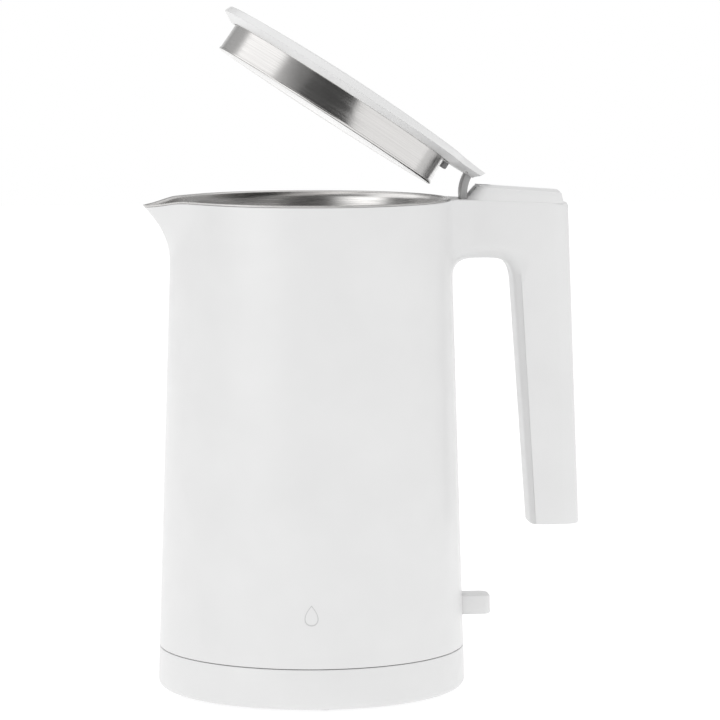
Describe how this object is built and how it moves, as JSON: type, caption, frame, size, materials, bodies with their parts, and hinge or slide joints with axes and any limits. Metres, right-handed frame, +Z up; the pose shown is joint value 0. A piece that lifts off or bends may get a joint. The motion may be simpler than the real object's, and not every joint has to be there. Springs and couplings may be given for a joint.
{
  "type": "electric kettle",
  "caption": "White cordless electric kettle with a tapered body, pouring spout, tall open-ended handle, hinged lid standing part open, steel pot and a round power base.",
  "frame": {"origin": "the body's vertical axis at table level, under the middle of the power base", "axes": "+Z up, -X towards the spout, +X towards the handle"},
  "size_m": [0.2159, 0.1544, 0.3361],
  "materials": {
    "white_shell": "satin white moulded polypropylene",
    "pot_steel": "brushed stainless steel",
    "plain_steel": "plain plated steel",
    "grey_plastic": "mid grey moulded plastic",
    "black_plastic": "black glass-filled nylon",
    "nylon": "natural nylon",
    "brass": "plain",
    "silicone": "translucent white silicone",
    "rubber": "grey rubber",
    "aluminium": "plain",
    "heater_sheath": "dark oxidised sheath",
    "insulation": "foam"
  },
  "bodies": {
    "power_base": {"base_upper_shell": "white_shell", "base_lower_cover": "grey_plastic", "base_connector_tower": "black_plastic", "base_contact_ring": "brass", "base_contact_socket": "brass", "cord_gland": "black_plastic", "base_foot_1": "rubber", "base_foot_2": "rubber", "base_foot_3": "rubber", "base_foot_4": "rubber", "base_screw_1": "plain_steel", "base_screw_2": "plain_steel", "base_screw_3": "plain_steel"},
    "swivel_ring": {"base_swivel_ring": "nylon"},
    "kettle": {"outer_shell": "white_shell", "handle_inner_cover": "white_shell", "handle_top_cover": "white_shell", "inner_pot": "pot_steel", "rim_seal": "silicone", "steam_duct": "silicone", "heat_spreader_plate": "aluminium", "heating_element": "heater_sheath", "control_housing": "black_plastic", "bimetal_disc": "brass", "thermal_fuse": "brass", "kettle_connector": "black_plastic", "kettle_contact_ring": "brass", "kettle_contact_pin": "brass", "chassis_ring": "grey_plastic", "jug_bottom_cover": "white_shell", "bottom_screw_1": "plain_steel", "bottom_screw_2": "plain_steel", "bottom_screw_3": "plain_steel", "lever_pin": "plain_steel", "hinge_pin": "plain_steel", "hinge_bracket": "plain_steel", "hinge_spring": "plain_steel"},
    "switch_lever": {"switch_lever": "white_shell"},
    "lid": {"lid_top_cover": "white_shell", "lid_bottom_plate": "white_shell", "lid_liner": "pot_steel", "lid_insulation": "insulation", "lid_hinge_arm": "grey_plastic", "lid_bumper": "rubber", "lid_screw_1": "plain_steel", "lid_screw_2": "plain_steel"}
  },
  "joints": [
    {"name": "kettle_swivel", "type": "hinge", "parent": "power_base", "child": "swivel_ring", "pos_m": [0, 0, 0.02], "axis": [0, 0, 1], "continuous": true},
    {"name": "kettle_lift", "type": "slide", "parent": "swivel_ring", "child": "kettle", "axis": [0, 0, 1], "range_m": [0, 0.08]},
    {"name": "switch_press", "type": "hinge", "parent": "kettle", "child": "switch_lever", "pos_m": [0.058, 0, 0.037], "axis": [0, 1, 0], "range_deg": [0, 9]},
    {"name": "lid_hinge", "type": "hinge", "parent": "kettle", "child": "lid", "pos_m": [0.0934, 0, 0.2442], "axis": [0, 1, 0], "range_deg": [-33, 47]}
  ]
}
